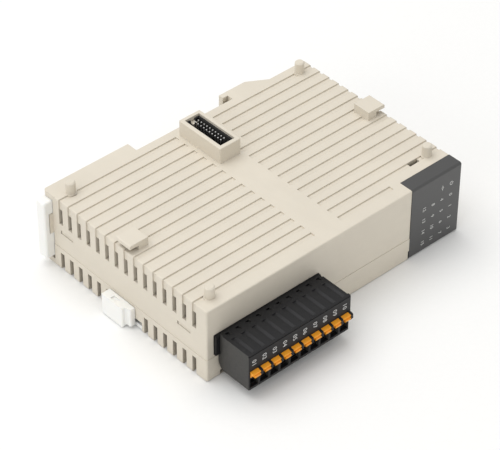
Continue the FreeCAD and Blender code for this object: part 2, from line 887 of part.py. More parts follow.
def chip(label, places, width, length, height, legs):
    """Packages on the main board: a body with a row of legs down each long side."""
    body = new_body(label)
    blocks = [around(x, y, width, length) for x, y in places]
    pad(body, "XY", blocks, board_top + 0.1, board_top + height)
    rows = []
    pitch = (length - 1.0) / (legs - 1)
    for x, y in places:
        for number in range(legs):
            leg_y = y - length / 2 + 0.5 + number * pitch
            rows.append(around(x, leg_y, width + 1.8, 0.35))
    pad(body, "XY", rows, board_top + 0.02, board_top + 0.3)
    return body


def power_converter():
    body = new_body("power_converter")
    pad(body, "XY", [around(28, -22, 10, 19.5)], board_top, board_top + 10)
    dress(body, "Chamfer", edges_along(body, "z", x=(22, 34), y=(-32, -12)), 0.5)
    return body


def filter_capacitors():
    """Can capacitors on square feet."""
    body = new_body("filter_capacitors")
    places = [(-36, -14), (-27, -14)]
    pad(body, "XY", [around(x, y, 6.6, 6.6) for x, y in places], board_top, board_top + 0.9)
    pad(body, "XY", [Circle(x, y, 3.15) for x, y in places], board_top + 0.8, board_top + 7.7)
    dress(body, "Fillet", round_edges_at(body, board_top + 7.7), 0.4)
    return body


def ceramic_capacitors():
    body = new_body("ceramic_capacitors")
    places = [(-38 + 4.5 * number, -50.5) for number in range(8)]
    places += [(6, -40 + 4 * number) for number in range(4)]
    pad(body, "XY", [around(x, y, 1.25, 2.0) for x, y in places], board_top, board_top + 0.9)
    return body


def crystal():
    body = new_body("crystal")
    pad(body, "XY", [around(25, -40, 3.2, 5.0)], board_top, board_top + 1.2)
    dress(body, "Fillet", edges_along(body, "z", x=(20, 30)), 0.5)
    return body


# ---------------------------------------------------------------- terminals


def terminal_header_body():
    """Board header: an open box that the plug slides into."""
    body = new_body("terminal_header_body")
    low = -D.header_low
    high = D.header_height - D.header_low
    back = seat_front + D.header_depth
    pad(body, "XY", [rectangle(header_left, header_right, seat_front, back)], low, high)
    dress(body, "Chamfer", edges_along(body, "x", y=(seat_front, seat_front)), 0.2)
    half_inner = D.insert_length / 2 + D.fit_gap
    inner = rectangle(
        -D.terminal_x - half_inner,
        -D.terminal_x + half_inner,
        -D.insert_low - D.fit_gap,
        D.insert_high + D.fit_gap,
    )
    pocket(body, "XZ", [inner], seat_front - outside, back - D.wall)
    pin_slot = pocket(body, "XZ", [around(pole(0), -0.3, 1.0, 0.8)], back - 2 * D.wall, back + 1)
    repeat(body, [pin_slot], "X", D.pole_pitch, D.pole_count)
    return body


def terminal_header_pins():
    """Bent pins from the header into the main board."""
    body = new_body("terminal_header_pins")
    bent = [
        (-68.8, -0.7),
        (-60.2, -0.7),
        (-60.2, board_bottom - 1.2),
        (-59.4, board_bottom - 1.2),
        (-59.4, 0.1),
        (-68.8, 0.1),
    ]
    first = pad(body, "YZ", [bent], pole(0) - 0.5, pole(0) + 0.5)
    repeat(body, [first], "X", D.pole_pitch, D.pole_count)
    return body


def plug_block(body):
    """The plug's outer block and the narrower part that enters the header."""
    seat = seat_front - 0.05
    rear = front - D.fit_gap
    under_header = -D.header_low - D.fit_gap
    section = [
        (plug_face, -D.plug_low),
        (rear - 0.9, -D.plug_low),
        (rear, -7.0),
        (rear, under_header),
        (seat, under_header),
        (seat, D.plug_top),
        (plug_face, D.plug_top),
    ]
    pad(body, "YZ", [section], plug_left, plug_right)
    dress(body, "Fillet", edges_along(body, "z", y=(plug_face, plug_face)), 0.3)
    step = seat - 1.2
    ends = [
        rectangle(plug_left - outside, plug_left + 0.3, step, inner_front),
        rectangle(plug_right - 0.3, plug_right + outside, step, inner_front),
    ]
    pocket(body, "XY", ends, -D.plug_low - outside, D.plug_top + outside)
    panel_end = rectangle(plug_right - 0.4, plug_right + 0.35, plug_face, plug_face + 1.1)
    pad(body, "XY", [panel_end], -D.panel_low, D.plug_top)
    half_insert = D.insert_length / 2
    insert = rectangle(-D.terminal_x - half_insert, -D.terminal_x + half_insert, seat - 1, -63.2)
    pad(body, "XY", [insert], -D.insert_low, D.insert_high)


def pole_cuts(body):
    """What is cut at each pole: marks on top, the button's pocket, wire entry and clamp chamber."""
    gap = D.button_gap
    middle = pole(0)
    half_pocket = D.button_width / 2 + gap
    ramp = [
        (middle - 0.95, D.plug_top + 0.35),
        (middle - 0.95, D.plug_top - 0.35),
        (middle + 0.1, D.plug_top - 0.35),
        (middle + 1.8, D.plug_top + 0.35),
    ]
    notch_rear = seat_front - 0.75
    corner_notch = [
        (middle - 0.65, notch_rear - 0.65),
        (middle + 0.1, notch_rear - 0.65),
        (middle + 0.1, notch_rear - 1.3),
        (middle + 0.65, notch_rear - 1.3),
        (middle + 0.65, notch_rear),
        (middle - 0.65, notch_rear),
    ]
    well = rectangle(
        middle - half_pocket, middle + half_pocket, -D.button_low - gap, gap - D.button_high
    )
    mouth = around(middle, -D.wire_entry_z, 3.1, 3.4)
    entry = around(middle, -D.wire_entry_z, 2.6, 2.8)
    chamber = rectangle(middle - 1.4, middle + 1.4, -8.4, 1.8)
    channel = rectangle(middle - 1.2, middle + 1.2, -1.6, 1.0)
    return [
        pocket(body, "XZ", [ramp], plug_face + 0.9, plug_face + 8.6),
        pocket(body, "XY", [corner_notch], D.plug_top - 1.6, D.plug_top + outside),
        pocket(body, "XZ", [well], plug_face - outside, -76.0),
        pocket(body, "XZ", [mouth], plug_face - outside, plug_face + 1.2),
        pocket(body, "XZ", [entry], plug_face, -74.0),
        pocket(body, "XZ", [chamber], -76.1, -71.3),
        pocket(body, "XZ", [channel], -71.4, -63.2 + outside),
    ]


def plug_housing():
    """Plug with ten poles, a plain strip for the pole numbers and a fin beside each button."""
    body = new_body("plug_housing")
    plug_block(body)
    cuts = pole_cuts(body)
    repeat(body, cuts, "X", D.pole_pitch, D.pole_count)
    edge_line = rectangle(
        plug_left - outside, plug_right + outside, D.plug_top - 0.45, D.plug_top - 0.15
    )
    pocket(body, "XZ", [edge_line], plug_face - outside, plug_face + 0.45)
    fin_outline = [
        (plug_face + 0.2, 0.1 - D.panel_low),
        (plug_face - 1.0, -D.panel_low - 0.1),
        (plug_face - 1.25, -D.panel_low - 0.4),
        (plug_face - D.button_proud, -4.2),
        (plug_face - 0.7, -5.2),
        (plug_face + 0.2, -5.6),
    ]
    fin_x = pole(0) + D.pole_pitch / 2
    fin = pad(body, "YZ", [fin_outline], fin_x - 0.36, fin_x + 0.36)
    repeat(body, [fin], "X", D.pole_pitch, D.pole_count)
    return body


def clamp_contacts():
    """One brass contact for each pole: a box round the header pin and a bar to the clamp."""
    body = new_body("clamp_contacts")
    first_sleeve = pad(
        body,
        "XZ",
        [around(pole(0), -0.3, 1.8, 1.7), around(pole(0), -0.3, 1.1, 0.9)],
        -70.0,
        -64.2,
    )
    bar_outline = [
        (-75.6, -7.6),
        (-75.2, -7.6),
        (-72.4, -7.6),
        (-72.4, -1.0),
        (-69.9, -1.0),
        (-69.9, -0.76),
        (-73.0, -0.76),
        (-73.0, -7.1),
        (-75.6, -7.1),
    ]
    first_bar = pad(body, "YZ", [bar_outline], pole(0) - 0.9, pole(0) + 0.9)
    repeat(body, [first_sleeve, first_bar], "X", D.pole_pitch, D.pole_count)
    return body


def clamp_springs():
    """One bent steel leaf for each pole, pressed open by the button."""
    body = new_body("clamp_springs")
    leaf = [
        (-73.3, -6.6),
        (-73.3, 1.2),
        (-75.6, 1.2),
        (-75.6, -0.9),
        (-74.6, -6.2),
        (-74.3, -6.1),
        (-75.3, -0.9),
        (-75.3, 0.9),
        (-73.6, 0.9),
        (-73.6, -6.6),
    ]
    first = pad(body, "YZ", [leaf], pole(0) - 0.8, pole(0) + 0.8)
    repeat(body, [first], "X", D.pole_pitch, D.pole_count)
    return body


def release_button(number):
    """Push button with a stepped face, notched for a screwdriver blade."""
    body = new_body(f"release_button_{number + 1}")
    half = D.button_width / 2
    middle = pole(number)
    tip = plug_face - D.button_proud
    section = [
        (-77.4, -D.button_low),
        (tip + 0.2, -D.button_low),
        (tip, -4.2),
        (tip, -3.8),
        (tip + 0.4, -3.6),
        (tip + 0.5, -3.5),
        (tip + 0.05, -3.1),
        (tip + 0.2, -2.8),
        (plug_face + 0.2, -D.button_high),
        (-77.4, -D.button_high),
    ]
    pad(body, "YZ", [section], middle - half, middle + half)
    step = rectangle(middle - half - outside, middle - half + 0.8, -6.5, -3.55)
    pocket(body, "XZ", [step], tip - outside, plug_face - 0.1)
    return body


# ---------------------------------------------------------------- sliding catches


def din_clip():
    """Slider that hooks the rail's edge, with a groove over the housing's guide rib."""
    body = new_body("din_clip")
    gap = D.fit_gap
    handle_end = left - D.clip_proud
    seat_gap = 0.05
    outer_face = D.foot_reach - 0.05
    flange_top = D.keeper_inset - gap
    slim_low = gap - D.keeper_lower
    slim_high = D.keeper_upper - gap
    low, high = -D.clip_low, D.clip_high
    pad(body, "XY", [rectangle(handle_end, -D.channel_half, seat_gap, flange_top)], low, high)
    pad(body, "XY", [rectangle(handle_end, -46.2, flange_top - gap, outer_face)], low, high)
    slim = rectangle(-46.4, -D.channel_half, flange_top - gap, outer_face)
    pad(body, "XY", [slim], slim_low, slim_high)
    tip = D.clip_hook - D.channel_half
    hook = [
        (-D.channel_half - 0.5, D.guide_rib_proud + 0.15),
        (tip, D.guide_rib_proud + 0.15),
        (tip, 2.0),
        (tip - 1.6, outer_face),
        (-D.channel_half - 0.5, outer_face),
    ]
    pad(body, "XY", [hook], slim_low, slim_high)
    dress(body, "Fillet", edges_along(body, "z", x=(handle_end, handle_end)), 0.8)
    ends = edges_along(body, "y", x=(handle_end, handle_end + 1))
    dress(body, "Fillet", ends, 0.6)
    groove = rectangle(
        seat_gap - outside,
        D.guide_rib_proud + gap,
        -D.guide_rib_low - gap,
        D.guide_rib_high + gap,
    )
    groove_end = left - D.guide_nose - 2 * gap
    pocket(body, "YZ", [groove], groove_end, -D.channel_half + outside)
    slots = [
        rectangle(-33.0, -26.6, 7.2, 7.7),
        rectangle(-27.2, -26.6, 7.7, 12.0),
    ]
    pocket(body, "XZ", slots, -outside, D.foot_reach + outside)
    bump = rectangle(-30.4, -28.5, 8.2, 9.6)
    pad(body, "XZ", [bump], -0.55, seat_gap + gap)
    return body


def latch_slider(label, sign):
    """Slider with a thumb block outside the end wall and a finger that locks a hook."""
    body = new_body(label)

    def across(near, far, low_y, high_y):
        low_x, high_x = sorted((sign * near, sign * far))
        return rectangle(low_x, high_x, low_y, high_y)

    thumb_end = (right + D.latch_proud).value
    low, high = -D.latch_low, -D.latch_high
    pad(body, "XY", [across(50.12, thumb_end, -35.0, -D.latch_rear)], low, high)
    thumb_edges = edges_along(body, "x") + edges_along(body, "z", x=(sign * thumb_end, sign * 53))
    dress(body, "Fillet", thumb_edges, 0.5)
    pad(body, "XY", [across(50.12, 51.9, -D.latch_front, -34.5)], low + 0.8, high - 0.1)
    dress(body, "Fillet", edges_along(body, "z", x=(sign * 51.9, sign * 51.9)), 0.6)
    pad(body, "XY", [across(47.0, 50.5, -35.0, -27.6)], -9.4, -7.2)
    pad(body, "XY", [across(46.6, 47.85, -39.6, -27.6)], -9.4, -6.3)
    pad(body, "XY", [across(46.6, 47.85, -39.6, -37.2)], -12.7, -9.2)
    pad(body, "XY", [across(46.9, 49.6, -39.6, -36.2)], -12.7, -11.5)
    notch = across(51.2, 52.6, -31.6, -29.0)
    pocket(body, "XY", [notch], high - 0.5, high + outside)
    return body


# ---------------------------------------------------------------- build and export


def build_all():
    nodes = [
        upper_shell(),
        lower_shell(),
        indicator_window(),
        light_guide(),
        status_leds(),
        indicator_board(),
        main_board(),
        bus_header_body(),
        bus_header_pins(),
        bus_socket_body(),
        bus_socket_contacts(),
        board_link_body(),
        board_link_pins(),
        chip("processor_chip", [(14.0, -33.0)], 10.0, 10.0, 1.5, 12),
        chip("converter_chips", [(-30.0, -42.0), (-16.0, -42.0)], 4.4, 6.5, 1.2, 8),
        chip("isolator_chips", [(-24.0, -28.0), (-10.0, -28.0)], 7.5, 10.3, 2.4, 8),
        power_converter(),
        filter_capacitors(),
        ceramic_capacitors(),
        crystal(),
        terminal_header_body(),
        terminal_header_pins(),
        plug_housing(),
        clamp_contacts(),
        clamp_springs(),
        din_clip(),
        latch_slider("latch_slider_left", -1),
        latch_slider("latch_slider_right", 1),
    ]
    nodes += [release_button(number) for number in range(DIMENSIONS["pole_count"])]
    return nodes


def check_and_export(nodes):
    doc.recompute()
    for item in doc.Objects:
        if "Invalid" in item.State or "Error" in item.State:
            raise RuntimeError(f"{item.Label} failed: {item.State}")
    for node in nodes:
        if node.Shape.isNull() or not node.Shape.isValid():
            raise RuntimeError(f"{node.Label} has no valid shape")
    os.makedirs("parts", exist_ok=True)
    for node in nodes:
        node.Shape.exportStep(f"parts/{node.Label}.step")


check_and_export(build_all())
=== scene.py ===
import json
import math

import bmesh
import bpy
from mathutils import Euler, Matrix, Vector


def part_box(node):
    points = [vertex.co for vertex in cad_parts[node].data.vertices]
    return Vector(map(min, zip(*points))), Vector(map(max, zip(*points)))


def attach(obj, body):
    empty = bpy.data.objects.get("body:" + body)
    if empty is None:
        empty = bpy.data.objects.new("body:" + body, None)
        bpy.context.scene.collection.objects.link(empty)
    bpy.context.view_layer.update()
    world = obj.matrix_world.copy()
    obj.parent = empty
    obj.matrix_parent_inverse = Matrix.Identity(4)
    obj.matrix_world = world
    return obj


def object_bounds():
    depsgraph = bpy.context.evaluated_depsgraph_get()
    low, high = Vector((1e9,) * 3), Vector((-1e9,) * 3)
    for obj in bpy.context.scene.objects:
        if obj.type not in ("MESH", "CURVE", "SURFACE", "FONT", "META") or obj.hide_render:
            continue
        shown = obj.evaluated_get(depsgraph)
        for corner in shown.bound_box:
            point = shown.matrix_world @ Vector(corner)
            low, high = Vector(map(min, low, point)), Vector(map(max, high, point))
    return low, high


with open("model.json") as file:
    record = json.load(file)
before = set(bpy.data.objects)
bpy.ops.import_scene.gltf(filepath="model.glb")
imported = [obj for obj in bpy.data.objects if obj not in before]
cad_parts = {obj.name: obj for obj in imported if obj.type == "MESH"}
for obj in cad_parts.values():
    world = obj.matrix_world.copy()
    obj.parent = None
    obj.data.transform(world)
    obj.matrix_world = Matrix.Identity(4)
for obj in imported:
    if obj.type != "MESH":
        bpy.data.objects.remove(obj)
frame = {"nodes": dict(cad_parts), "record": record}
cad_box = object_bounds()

MM = 0.001
NODES = frame["nodes"]

# ------------------------------------------------------------------ places taken from the CAD

WINDOW_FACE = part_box("indicator_window")[0].y
RESTING_LEVEL = cad_box[0].z
POLE_COUNT = 10
LIGHT_COLUMNS, LIGHT_ROWS = 4, 5
FIRST_FULL_COLUMN = 2
LED_WIDTH, LED_HEIGHT = 1.2 * MM, 0.8 * MM
LABEL_FACE = -81.2 * MM
LABEL_MIDDLE = 0.4 * MM


def pole_x(number):
    """Middle of a terminal pole, read from its button."""
    low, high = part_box(f"release_button_{number + 1}")
    return (low.x + high.x) / 2


def srgb(red, green, blue):
    """Linear colour from the 0 to 255 values a screen shows."""
    def channel(value):
        value /= 255
        return value / 12.92 if value <= 0.04045 else ((value + 0.055) / 1.055) ** 2.4
    return (channel(red), channel(green), channel(blue), 1.0)


# ------------------------------------------------------------------ node helpers


class Graph:
    """Builds a material's nodes with short calls."""

    def __init__(self, name):
        self.material = bpy.data.materials.new(name)
        self.material.use_nodes = True
        self.tree = self.material.node_tree
        self.tree.nodes.clear()
        self.output = self.tree.nodes.new("ShaderNodeOutputMaterial")
        self.shader = self.node("ShaderNodeBsdfPrincipled")
        self.link(self.shader.outputs[0], self.output.inputs["Surface"])
        coordinates = self.node("ShaderNodeTexCoord")
        scale = self.node("ShaderNodeVectorMath", operation="SCALE")
        self.link(coordinates.outputs["Object"], scale.inputs[0])
        scale.inputs["Scale"].default_value = 1000.0
        self.millimetres = scale.outputs[0]

    def node(self, kind, **settings):
        made = self.tree.nodes.new(kind)
        for key, value in settings.items():
            setattr(made, key, value)
        return made

    def link(self, source, target):
        self.tree.links.new(source, target)

    def feed(self, socket, value):
        """Give a socket a plain value, or link another node's output to it."""
        if isinstance(value, bpy.types.NodeSocket):
            self.link(value, socket)
        else:
            socket.default_value = value

    def noise(self, scale, detail=2.0, roughness=0.5, stretch=None):
        """Noise in millimetre space; scale is waves per millimetre."""
        made = self.node("ShaderNodeTexNoise")
        made.inputs["Scale"].default_value = scale
        made.inputs["Detail"].default_value = detail
        made.inputs["Roughness"].default_value = roughness
        source = self.millimetres
        if stretch:
            product = self.node("ShaderNodeVectorMath", operation="MULTIPLY")
            self.link(source, product.inputs[0])
            product.inputs[1].default_value = stretch
            source = product.outputs[0]
        self.link(source, made.inputs["Vector"])
        return made.outputs["Fac"]

    def cells(self, scale):
        made = self.node("ShaderNodeTexVoronoi")
        made.inputs["Scale"].default_value = scale
        self.link(self.millimetres, made.inputs["Vector"])
        return made.outputs["Distance"]

    def ramp(self, source, low, high, from_low=0.3, from_high=0.7):
        """Map a value to a range, clamped."""
        made = self.node("ShaderNodeMapRange")
        made.inputs["From Min"].default_value = from_low
        made.inputs["From Max"].default_value = from_high
        made.inputs["To Min"].default_value = low
        made.inputs["To Max"].default_value = high
        self.link(source, made.inputs["Value"])
        return made.outputs["Result"]

    def mix(self, factor, first, second):
        made = self.node("ShaderNodeMix", data_type="RGBA")
        for value, number in ((factor, 0), (first, 6), (second, 7)):
            self.feed(made.inputs[number], value)
        return made.outputs[2]

    def math(self, operation, first, second=0.0):
        made = self.node("ShaderNodeMath", operation=operation)
        self.feed(made.inputs[0], first)
        self.feed(made.inputs[1], second)
        return made.outputs[0]

    def edges(self, radius_mm):
        """(softened normal, 0 to 1 mask) near the edges of the solid."""
        bevel = self.node("ShaderNodeBevel", samples=6)
        bevel.inputs["Radius"].default_value = radius_mm * MM
        geometry = self.node("ShaderNodeNewGeometry")
        dot = self.node("ShaderNodeVectorMath", operation="DOT_PRODUCT")
        self.link(bevel.outputs[0], dot.inputs[0])
        self.link(geometry.outputs["Normal"], dot.inputs[1])
        return bevel.outputs[0], self.ramp(dot.outputs["Value"], 1.0, 0.0, 0.75, 0.985)

    def cavity(self, reach_mm, open_from):
        """Mask for painted shade, from ambient occlusion: 0 deep inside slots and openings,
        rising to 1 where the surface is open.
        """
        made = self.node("ShaderNodeAmbientOcclusion", samples=5)
        made.inputs["Distance"].default_value = reach_mm * MM
        return self.ramp(made.outputs["AO"], 0.0, 1.0, 0.04, open_from)

    def facing_x(self):
        """1 on faces square to the X axis, 0 elsewhere."""
        geometry = self.node("ShaderNodeNewGeometry")
        parts = self.node("ShaderNodeSeparateXYZ")
        self.link(geometry.outputs["Normal"], parts.inputs[0])
        return self.ramp(self.math("ABSOLUTE", parts.outputs["X"]), 0.0, 1.0, 0.85, 0.97)

    def bump(self, height, strength, depth_mm, normal=None):
        made = self.node("ShaderNodeBump")
        made.inputs["Strength"].default_value = strength
        made.inputs["Distance"].default_value = depth_mm * MM
        self.link(height, made.inputs["Height"])
        if normal is not None:
            self.link(normal, made.inputs["Normal"])
        return made.outputs[0]

    def set(self, name, value):
        self.feed(self.shader.inputs[name], value)


def moulded(name, colour, worn, rough, grain, depth_mm, edge_mm=0.12, mottling=0.5, wear=0.5,
            specular=0.5, scatter=0.0, painted_shade_in_openings=None, painted_lit_end_tone=None):
    """Injection-moulded plastic: fine spark-eroded grain, faint flow mottling and rubbed edges.

    grain is the size of the texture in waves per millimetre, worn is the colour that rubbed
    edges take, the colour for openings is painted shade laid into the base colour deep inside
    slots and openings through an ambient occlusion mask, and the X-face tone is painted light:
    a lighter colour given to the lit faces across the X axis, broken up by patchy noise.
    """
    graph = Graph(name)
    normal, edge = graph.edges(edge_mm)
    cloudy = graph.noise(0.06, 3.0, 0.6)
    flow = graph.noise(0.35, 2.0, 0.5, stretch=(1.0, 0.25, 1.0))
    darker = tuple(channel * 0.93 for channel in colour[:3]) + (1.0,)
    lighter = tuple(min(1.0, channel * 1.04) for channel in colour[:3]) + (1.0,)
    tone = graph.mix(graph.ramp(cloudy, 0.0, mottling), lighter, darker)
    tone = graph.mix(graph.ramp(flow, 0.0, mottling * 0.5), tone, darker)
    # painted light: faces across the X axis take a lighter tone, as if lit from the side, broken
    # up by patchy noise
    if painted_lit_end_tone:
        lit_end_patches = graph.ramp(graph.noise(1.1, 5.0, 0.7), 0.7, 1.0)
        tone = graph.mix(graph.math("MULTIPLY", graph.facing_x(), lit_end_patches), tone, painted_lit_end_tone)
    patches = graph.ramp(graph.noise(1.4, 4.0, 0.6), 0.0, 1.0, 0.42, 0.62)
    rubbed = graph.math("MULTIPLY", graph.math("MULTIPLY", edge, patches), wear)
    tone = graph.mix(rubbed, tone, worn)
    # painted shade: the base colour turns to the dark shade colour deep inside slots and openings
    if painted_shade_in_openings:
        tone = graph.mix(graph.cavity(14.0, 0.22), painted_shade_in_openings, tone)
    graph.set("Base Color", tone)
    fine = graph.noise(grain, 2.0, 0.6)
    pits = graph.cells(grain * 0.7)
    height = graph.math("ADD", fine, graph.math("MULTIPLY", pits, 0.6))
    graph.set("Normal", graph.bump(height, 0.6, depth_mm, normal))
    shine = graph.ramp(fine, rough - 0.05, rough + 0.06)
    shine = graph.math("SUBTRACT", shine, graph.math("MULTIPLY", rubbed, 0.12))
    graph.set("Roughness", shine)
    graph.set("Specular IOR Level", specular)
    if scatter:
        graph.set("Subsurface Weight", scatter)
        graph.set("Subsurface Radius", (1.0, 0.85, 0.7))
        graph.set("Subsurface Scale", 0.6 * MM)
    return graph.material


def metal(name, colour, rough, streak=(1.0, 1.0, 1.0), scale=3.0):
    """Plated or drawn metal with fine streaks and slightly dulled patches."""
    graph = Graph(name)
    normal = graph.edges(0.04)[0]
    lines = graph.noise(scale, 3.0, 0.6, stretch=streak)
    dull = tuple(channel * 0.72 for channel in colour[:3]) + (1.0,)
    graph.set("Base Color", graph.mix(graph.ramp(graph.noise(0.8, 3.0), 0.0, 0.7), colour, dull))
    graph.set("Metallic", 1.0)
    graph.set("Roughness", graph.ramp(lines, rough - 0.06, rough + 0.12))
    graph.set("Normal", graph.bump(lines, 0.25, 0.01, normal))
    return graph.material


def circuit_board(name, colour):
    """Solder mask with faint copper tracks under it."""
    graph = Graph(name)
    normal = graph.edges(0.05)[0]
    tracks = graph.node("ShaderNodeTexBrick")
    graph.link(graph.millimetres, tracks.inputs["Vector"])
    tracks.inputs["Scale"].default_value = 0.55
    tracks.inputs["Mortar Size"].default_value = 0.12
    tracks.inputs["Color1"].default_value = colour
    tracks.inputs["Color2"].default_value = tuple(c * 1.15 for c in colour[:3]) + (1.0,)
    tracks.inputs["Mortar"].default_value = tuple(c * 1.5 for c in colour[:3]) + (1.0,)
    weave = graph.noise(2.5, 2.0)
    graph.set("Base Color", tracks.outputs["Color"])
    graph.set("Roughness", graph.ramp(weave, 0.30, 0.42))
    graph.set("Normal", graph.bump(tracks.outputs["Fac"], 0.3, 0.03, normal))
    return graph.material


def clear_plastic(name, colour, rough):
    """Clear moulded polycarbonate, a little cloudy."""
    graph = Graph(name)
    normal = graph.edges(0.08)[0]
    haze = graph.noise(0.8, 3.0)
    graph.set("Base Color", graph.mix(graph.ramp(haze, 0.0, 0.4), colour, (0.9, 0.92, 0.9, 1.0)))
    graph.set("Transmission Weight", 0.75)
    graph.set("IOR", 1.58)
    graph.set("Roughness", graph.ramp(haze, rough, rough + 0.1))
    graph.set("Normal", graph.bump(graph.noise(3.0), 0.2, 0.01, normal))
    return graph.material


def ink(name, colour):
    """Screen-printed ink: matt, slightly broken at its edges."""
    graph = Graph(name)
    speckle = graph.noise(9.0, 3.0, 0.7)
    thin = tuple(channel * 0.8 for channel in colour[:3]) + (1.0,)
    graph.set("Base Color", graph.mix(graph.ramp(speckle, 0.0, 1.0, 0.35, 0.65), colour, thin))
    graph.set("Roughness", graph.ramp(speckle, 0.5, 0.65))
    graph.set("Normal", graph.bump(speckle, 0.3, 0.01))
    return graph.material


def paper_floor(name, colour):
    """Seamless studio paper."""
    graph = Graph(name)
    fibre = graph.noise(0.9, 4.0, 0.7)
    shade = tuple(channel * 0.985 for channel in colour[:3]) + (1.0,)
    graph.set("Base Color", graph.mix(graph.ramp(fibre, 0.0, 1.0), colour, shade))
    graph.set("Roughness", 0.85)
    graph.set("Specular IOR Level", 0.2)
    graph.set("Normal", graph.bump(fibre, 0.15, 0.05))
    return graph.material


# ------------------------------------------------------------------ materials

IVORY = moulded("ivory_housing", srgb(216, 208, 193), srgb(236, 231, 220), 0.50, 5.0, 0.012,
                edge_mm=0.14, mottling=0.45, wear=0.35, specular=0.42, scatter=0.03,
                # this dark brown is painted shade for the insides of openings
                painted_shade_in_openings=srgb(92, 80, 66))
WHITE = moulded("white_slider", srgb(240, 240, 237), srgb(250, 250, 249), 0.38, 4.0, 0.006,
                edge_mm=0.16, mottling=0.25, wear=0.3, specular=0.5, scatter=0.12)
SMOKED = moulded("smoked_window", srgb(70, 70, 70), srgb(112, 112, 111), 0.34, 5.5, 0.006,
                 edge_mm=0.14, mottling=0.4, wear=0.5, specular=0.55)
# the black's grey X-face tone is painted light on the lit end faces
BLACK = moulded("black_connector", srgb(27, 27, 29), srgb(92, 90, 88), 0.46, 5.0, 0.012,
                edge_mm=0.12, mottling=0.5, wear=0.45, specular=0.26, painted_lit_end_tone=srgb(66, 65, 63))
# painted shade: a darker copy of the black plastic for the header, which sits in shadow between
# the housing wall and the plug
PAINTED_SHADE_BLACK = moulded("header_black_painted_shade", srgb(20, 20, 22), srgb(60, 60, 60), 0.55, 5.0, 0.012,
                       edge_mm=0.08, mottling=0.5, wear=0.3, specular=0.3)
ORANGE = moulded("orange_button", srgb(243, 160, 28), srgb(252, 196, 96), 0.33, 4.5, 0.005,
                 edge_mm=0.1, mottling=0.35, wear=0.5, specular=0.5, scatter=0.05)
EPOXY = moulded("chip_epoxy", srgb(30, 30, 31), srgb(60, 60, 60), 0.55, 6.0, 0.01, edge_mm=0.06)
CERAMIC = moulded("fired_ceramic", srgb(168, 136, 98), srgb(205, 205, 205), 0.6, 6.0, 0.01,
                  edge_mm=0.05)
LED = moulded("led_resin", srgb(236, 228, 170), srgb(250, 246, 220), 0.25, 6.0, 0.004,
              edge_mm=0.05, scatter=0.2)
GOLD = metal("gold_plate", (0.83, 0.60, 0.25, 1.0), 0.24)
TIN = metal("tin_plate", (0.72, 0.72, 0.71, 1.0), 0.34)
BRASS = metal("contact_brass", (0.74, 0.60, 0.30, 1.0), 0.30, streak=(1.0, 6.0, 1.0))
STEEL = metal("spring_steel", (0.60, 0.60, 0.61, 1.0), 0.28, streak=(6.0, 1.0, 1.0))
CAN = metal("drawn_can", (0.76, 0.76, 0.77, 1.0), 0.30, streak=(1.0, 1.0, 8.0))
BOARD = circuit_board("solder_mask", srgb(30, 92, 52))
CLEAR = clear_plastic("clear_guide", (0.92, 0.94, 0.92, 1.0), 0.12)
WHITE_INK = ink("white_ink", srgb(222, 222, 220))
FLOOR = paper_floor("studio_paper", srgb(246, 246, 245))

FINISH = {
    "housing": IVORY,
    "clip": WHITE,
    "window": SMOKED,
    "light_guide": CLEAR,
    "led": LED,
    "board": BOARD,
    "connector_black": BLACK,
    "chip": EPOXY,
    "capacitor_can": CAN,
    "ceramic": CERAMIC,
    "crystal_can": CAN,
    "pin_gold": GOLD,
    "pin_tin": TIN,
    "contact_brass": BRASS,
    "spring_steel": STEEL,
    "button": ORANGE,
}


def dress_cad_nodes():
    """Give each CAD node the finish of its material slot."""
    for part in frame["record"]["subparts"]:
        piece = NODES[part["node"]]
        piece.data.materials.clear()
        piece.data.materials.append(FINISH[part["material_slot"]])
    # the header body takes the darker black copy as painted shade for its shadowed place
    NODES["terminal_header_body"].data.materials[0] = PAINTED_SHADE_BLACK


# ------------------------------------------------------------------ printed marks

PRINT_LIFT = 0.015 * MM
PRINT_THICKNESS = 0.02 * MM
CAPITAL_SHARE = 0.7  # height of a digit as a share of the font's size


def reading(read_along, glyph_up):
    """Rotation that turns flat lettering to read along one direction with its tops in another."""
    across = read_along.cross(glyph_up)
    return Matrix((read_along, glyph_up, across)).transposed()


def add_mesh(name, mesh, body, material):
    piece = bpy.data.objects.new(name, mesh)
    bpy.context.scene.collection.objects.link(piece)
    piece.data.materials.append(material)
    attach(piece, body)


def lettering(text, height, spacing=1.0):
    """A flat mesh of the built-in font, centred on the origin."""
    curve = bpy.data.curves.new("lettering", "FONT")
    curve.body = text
    curve.size = height / CAPITAL_SHARE
    curve.space_character = spacing
    curve.align_x = "CENTER"
    curve.resolution_u = 4
    curve.extrude = PRINT_THICKNESS / 2
    holder = bpy.data.objects.new("lettering", curve)
    bpy.context.scene.collection.objects.link(holder)
    bpy.context.view_layer.update()
    evaluated = holder.evaluated_get(bpy.context.evaluated_depsgraph_get())
    mesh = bpy.data.meshes.new_from_object(evaluated)
    bpy.data.objects.remove(holder)
    low = min(vertex.co.y for vertex in mesh.vertices)
    high = max(vertex.co.y for vertex in mesh.vertices)
    left = min(vertex.co.x for vertex in mesh.vertices)
    right = max(vertex.co.x for vertex in mesh.vertices)
    mesh.transform(Matrix.Translation((-(left + right) / 2, -(low + high) / 2, 0)))
    return mesh


def flat_strokes(outlines):
    """A flat mesh of closed outlines given as lists of points, a little thick."""
    shape = bmesh.new()
    for outline in outlines:
        lower = [shape.verts.new((x, y, -PRINT_THICKNESS / 2)) for x, y in outline]
        upper = [shape.verts.new((x, y, PRINT_THICKNESS / 2)) for x, y in outline]
        shape.faces.new(upper)
        shape.faces.new(list(reversed(lower)))
        for index in range(len(outline)):
            following = (index + 1) % len(outline)
            shape.faces.new((lower[index], lower[following], upper[following], upper[index]))
    mesh = bpy.data.meshes.new("strokes")
    shape.to_mesh(mesh)
    shape.free()
    return mesh


